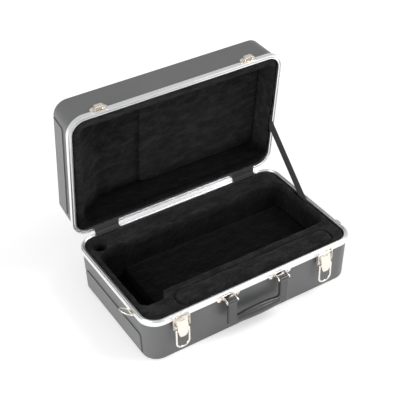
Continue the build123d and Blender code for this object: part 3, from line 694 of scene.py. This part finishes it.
def keeper():
    """An oval plate with a raised bridge that the bail hooks over, on the closed lid."""
    low = BASE_HEIGHT + RIM_GAP + SEAT
    plate = slab(
        "left_keeper_plate",
        (left_x - LATCH_HALF_WIDTH, front(SEAT + SHEET), low),
        (left_x + LATCH_HALF_WIDTH, front(SEAT), low + KEEPER_HEIGHT),
    )
    round_edges(plate, lambda m, d: abs(d.y) > ALONG, radius=0.007, steps=8)
    pick(plate, "FACE", lambda c, n: n.y < -ALONG)
    bpy.ops.mesh.inset(thickness=0.0022)
    bpy.ops.transform.translate(value=(0, -0.0005, 0))
    done()
    bridge = slab(
        "bridge",
        (left_x - HOOK_HALF_WIDTH, front(HOOK_OUT), HOOK_TOP_Z - 0.0052),
        (left_x + HOOK_HALF_WIDTH, front(HOOK_OUT - SHEET), HOOK_TOP_Z),
    )
    leg = HOOK_HALF_WIDTH - 1.5 * SHEET
    shelf = HOOK_TOP_Z - SHEET
    cut(bridge, 0, (left_x - leg, left_x + leg))
    cut(bridge, 2, (shelf,))
    pull(
        bridge,
        lambda c, n: n.y > ALONG and (abs(c.x - left_x) > leg or c.z > shelf),
        (0, HOOK_OUT - 2 * SHEET - SEAT, 0),
    )
    round_edges(bridge, lambda m, d: abs(d.z) > ALONG and m.y < front(HOOK_OUT - NEAR), radius=0.0022)
    lip_face = front(HOOK_OUT - SHEET - NEAR)

    def lip(c, n):
        """Tests for the bridge's top between its legs, along the front."""
        return n.z > ALONG and abs(c.x - left_x) < leg and c.y < lip_face

    pull(bridge, lip, (0, -0.0003, HOOK_LIP))
    whole = join([plate, bridge], "left_keeper_bridge")
    soften(whole, radius=0.0003)
    return whole


def to_lid(piece):
    """Swings a piece of the closed lid to where the lid stands."""
    piece.matrix_world = lid_turn()
    settle(piece, piece.name)


for maker, node, body, name in (
    (latch_plate, "latch_plate", "base", "latch_plate_sheet"),
    (latch_lever, "latch_lever", "lever", "lever_sheet"),
    (keeper, "keeper", "lid", "keeper_bridge"),
):
    left_piece = maker()
    right_piece = copy_piece(left_piece, f"right_{name}", to_right_latch)
    for side, piece in (("left", left_piece), ("right", right_piece)):
        if body == "lid":
            to_lid(piece)
        rider = f"{side}_lever" if body == "lever" else body
        dress(piece, "nickel", f"{side}_{node}", rider)


# Rivets: one domed head on its shank, copied to every hole

def rivet_master(name, head, shank, depth):
    """A round head with a domed top, standing on the origin and facing up, and its shank below."""
    height = RIVET_HEAD
    bpy.ops.object.select_all(action="DESELECT")
    bpy.ops.mesh.primitive_cylinder_add(vertices=20, radius=head, depth=height, location=(0, 0, height / 2))
    rivet = settle(bpy.context.object, name)
    pick(rivet, "FACE", lambda c, n: n.z > ALONG)
    bpy.ops.mesh.inset(thickness=head * 0.35)
    bpy.ops.transform.translate(value=(0, 0, height * 0.3))
    bpy.ops.mesh.inset(thickness=head * 0.3)
    bpy.ops.transform.translate(value=(0, 0, height * 0.12))
    done()
    pick(rivet, "FACE", lambda c, n: n.z < -ALONG)
    bpy.ops.mesh.inset(thickness=head - shank)
    bpy.ops.mesh.extrude_region_move(TRANSFORM_OT_translate={"value": (0, 0, -depth)})
    done()
    soften(rivet, radius=height * 0.2)
    return rivet


def riveted(name, node, body, master, places):
    """Copies of a rivet at places given as matrices, joined as one piece that stands for a node."""
    rivets = [copy_piece(master, f"{name}_{k}", place) for k, place in enumerate(places)]
    dress(join(rivets, name), "nickel", node, body)


def facing(x, y, z, normal):
    """The matrix that stands an upright rivet at a place, facing along a normal."""
    return Matrix.Translation((x, y, z)) @ Vector(normal).to_track_quat("Z", "Y").to_matrix().to_4x4()


FRONTWARD, BACKWARD, LEFTWARD, RIGHTWARD = (0, -1, 0), (0, 1, 0), (-1, 0, 0), (1, 0, 0)
small_rivet = rivet_master("small_rivet", head=0.0019, shank=0.0012, depth=0.0066)
tab_rivet = rivet_master("tab_rivet", head=0.0012, shank=0.0007, depth=0.0062)
strap_rivet = rivet_master("strap_rivet", head=0.0032, shank=0.0012, depth=0.0063)
latch_middles = (FRONT_MIDDLE - LATCH_X, FRONT_MIDDLE + LATCH_X)
handle_middles = (FRONT_MIDDLE - HANDLE_X, FRONT_MIDDLE + HANDLE_X)
plate_face = front(SEAT + SHEET)
leaf_face = HALF_WIDTH - SHELL_INSET + SEAT + SHEET
tab_face = HALF_LENGTH + SEAT + TAB_METAL
tab_rivet_z = BASE_HEIGHT - TAB_RIVET_DROP
hinge_places = [x + s * HINGE_RIVET_SPACING for x in (-HINGE_X, HINGE_X) for s in (-1, 0, 1)]
riveted(
    "latch_rivet_heads", "latch_rivets", "base", small_rivet,
    [
        facing(x + s * LATCH_RIVET_X, plate_face, BASE_HEIGHT - LATCH_RIVET_DROP, FRONTWARD)
        for x in latch_middles for s in (-1, 1)
    ],
)
riveted(
    "keeper_rivet_heads", "keeper_rivets", "lid", small_rivet,
    [
        lid_turn() @ facing(x + s * KEEPER_RIVET, plate_face, BASE_HEIGHT + KEEPER_RIVET, FRONTWARD)
        for x in latch_middles for s in (-1, 1)
    ],
)
riveted(
    "bracket_rivet_heads", "bracket_rivets", "base", small_rivet,
    [
        facing(x + s * BRACKET_RIVET_X, plate_face, BASE_HEIGHT - BRACKET_RIVET_DROP, FRONTWARD)
        for x in handle_middles for s in (-1, 1)
    ],
)
riveted(
    "base_hinge_rivet_heads", "hinge_base_rivets", "base", small_rivet,
    [facing(x, leaf_face, HINGE_Z - HINGE_RIVET_REACH, BACKWARD) for x in hinge_places],
)
riveted(
    "lid_hinge_rivet_heads", "hinge_lid_rivets", "lid", small_rivet,
    [lid_turn() @ facing(x, leaf_face, HINGE_Z + HINGE_RIVET_REACH, BACKWARD) for x in hinge_places],
)
riveted(
    "tab_rivet_heads", "tab_rivets", "base", tab_rivet,
    [
        facing(side[0] * tab_face, RING_Y + s * TAB_RIVET_SPREAD, tab_rivet_z, side)
        for side in (LEFTWARD, RIGHTWARD) for s in (-1, 1)
    ],
)
riveted(
    "strap_base_rivet_head", "strap_base_rivet", "base", strap_rivet, [facing(STRAP_X, *STRAP_LOW, LEFTWARD)]
)
riveted(
    "strap_lid_rivet_head", "strap_lid_rivet", "lid", strap_rivet,
    [lid_turn() @ facing(STRAP_X, *STRAP_LID, LEFTWARD)],
)
for master in (small_rivet, tab_rivet, strap_rivet):
    bpy.data.objects.remove(master)


# Handle and its brackets

def handle_bracket():
    """A plate under the rim with two ears turned out to the handle's pin."""
    x = FRONT_MIDDLE - HANDLE_X
    near = ARM_WIDTH / 2 + BRACKET_CLEARANCE
    far = near + BRACKET_EAR
    ear_reach = SEAT + SHEET - PIN_OUT - 0.0024
    ear_drop = PIN_Z - 0.0004 - (BRACKET_TOP - BRACKET_HEIGHT / 2)
    plate = slab(
        "left_bracket_plate",
        (x - BRACKET_HALF_WIDTH, front(SEAT + SHEET), BRACKET_TOP - BRACKET_HEIGHT),
        (x + BRACKET_HALF_WIDTH, front(SEAT), BRACKET_TOP),
    )
    cut(plate, 0, (x - far, x - near, x + near, x + far))
    round_edges(plate, lambda m, d: abs(d.y) > ALONG and abs(m.x - x) > 0.02, radius=0.0042, steps=6)
    pull(plate, lambda c, n: n.y < -ALONG and near < abs(c.x - x) < far, (0, ear_reach, 0))
    shift(plate, lambda c: c.y < front(PIN_OUT), (0, 0, ear_drop), (1, 1, 0.45))
    round_edges(plate, lambda m, d: abs(d.x) > ALONG and m.y < front(PIN_OUT), radius=0.0015)
    soften(plate, radius=0.0003)
    return plate


left_bracket = handle_bracket()
right_bracket = copy_piece(left_bracket, "right_bracket_plate", Matrix.Translation((2 * HANDLE_X, 0, 0)))
dress(left_bracket, "nickel", "left_handle_bracket", "base")
dress(right_bracket, "nickel", "right_handle_bracket", "base")

moulding = copy_of_node("handle", "handle_moulding")
apply_modifier(moulding, "REMESH", mode="VOXEL", voxel_size=0.0009)
apply_modifier(moulding, "SMOOTH", factor=0.5, iterations=6)
only(moulding)
bpy.ops.object.shade_smooth()
dress(moulding, "handle_plastic", "handle", "handle")


# Stay strap and hinge tapes

def stay_strap():
    """Flat webbing with thin selvedges, pulled straight from the base's side to the lid's."""
    low = Vector((0, *STRAP_LOW))
    high = lid_turn() @ Vector((0, *STRAP_LID))
    run = high - low
    length = run.length + 2 * STRAP_OVERLAP
    strap = slab("strap", (0, 0, -STRAP_WIDTH / 2), (STRAP_THICKNESS, length, STRAP_WIDTH / 2))
    cut(strap, 1, [length * k / STRAP_STEPS for k in range(1, STRAP_STEPS)])
    inner = STRAP_WIDTH / 2 - SELVEDGE
    cut(strap, 2, (-inner, 0, inner))
    shift(strap, lambda c: abs(abs(c.z) - STRAP_WIDTH / 2) < NEAR, (0, 0, 0), (0.6, 1, 1))
    soften(strap, radius=0.0002)
    turned = Matrix.Rotation(math.atan2(run.z, run.y), 4, "X")
    start = low - run.normalized() * STRAP_OVERLAP
    strap.matrix_world = Matrix.Translation((STRAP_X, start.y, start.z)) @ turned
    settle(strap, "stay_strap_webbing")
    dress(strap, "webbing", "stay_strap")
    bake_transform(strap)


def tape_path():
    """A tape's run in y and z: flat on the base's rim, round the corner and up the lid's rim."""
    flat_steps, bend_steps, rise_steps = 4, 6, 5
    flat = TAPE_CORNER - TAPE_START
    path = [(TAPE_START + flat * k / flat_steps, TAPE_Z) for k in range(flat_steps + 1)]
    for k in range(1, bend_steps + 1):
        angle = math.radians(90.0) * k / bend_steps
        path.append((TAPE_CORNER + TAPE_BEND * math.sin(angle), TAPE_Z + TAPE_BEND * (1 - math.cos(angle))))
    back, foot = path[-1]
    for k in range(1, rise_steps + 1):
        path.append((back - TAPE_LEAN * k / rise_steps, foot + TAPE_RISE * k / rise_steps))
    return path


def hinge_tape(side, x):
    """Coated cloth glued over both rims, bent round the corner between them."""
    path = tape_path()
    bpy.ops.object.select_all(action="DESELECT")
    (y0, z0), (y1, z1) = path[:2]
    bpy.ops.mesh.primitive_plane_add(size=1, location=(x, (y0 + y1) / 2, z0))
    bpy.context.object.scale = (HINGE_WIDTH, y1 - y0, 1)
    tape = settle(bpy.context.object, f"{side}_hinge_tape_cloth")
    for (y0, z0), (y1, z1) in zip(path[1:], path[2:]):
        pick(tape, "EDGE", lambda m, d: abs(d.x) > ALONG and abs(m.y - y0) < NEAR and abs(m.z - z0) < NEAR)
        bpy.ops.mesh.extrude_region_move(TRANSFORM_OT_translate={"value": (0, y1 - y0, z1 - z0)})
        done()
    cut(tape, 0, [x + HINGE_WIDTH * (k / TAPE_STEPS - 0.5) for k in range(1, TAPE_STEPS)])
    apply_modifier(tape, "SOLIDIFY", thickness=TAPE_THICKNESS, offset=0.0)
    face_outwards(tape)
    soften(tape, radius=0.0002)
    dress(tape, "tape", f"{side}_hinge_tape")
    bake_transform(tape)


stay_strap()
hinge_tape("left", -HINGE_X)
hinge_tape("right", HINGE_X)
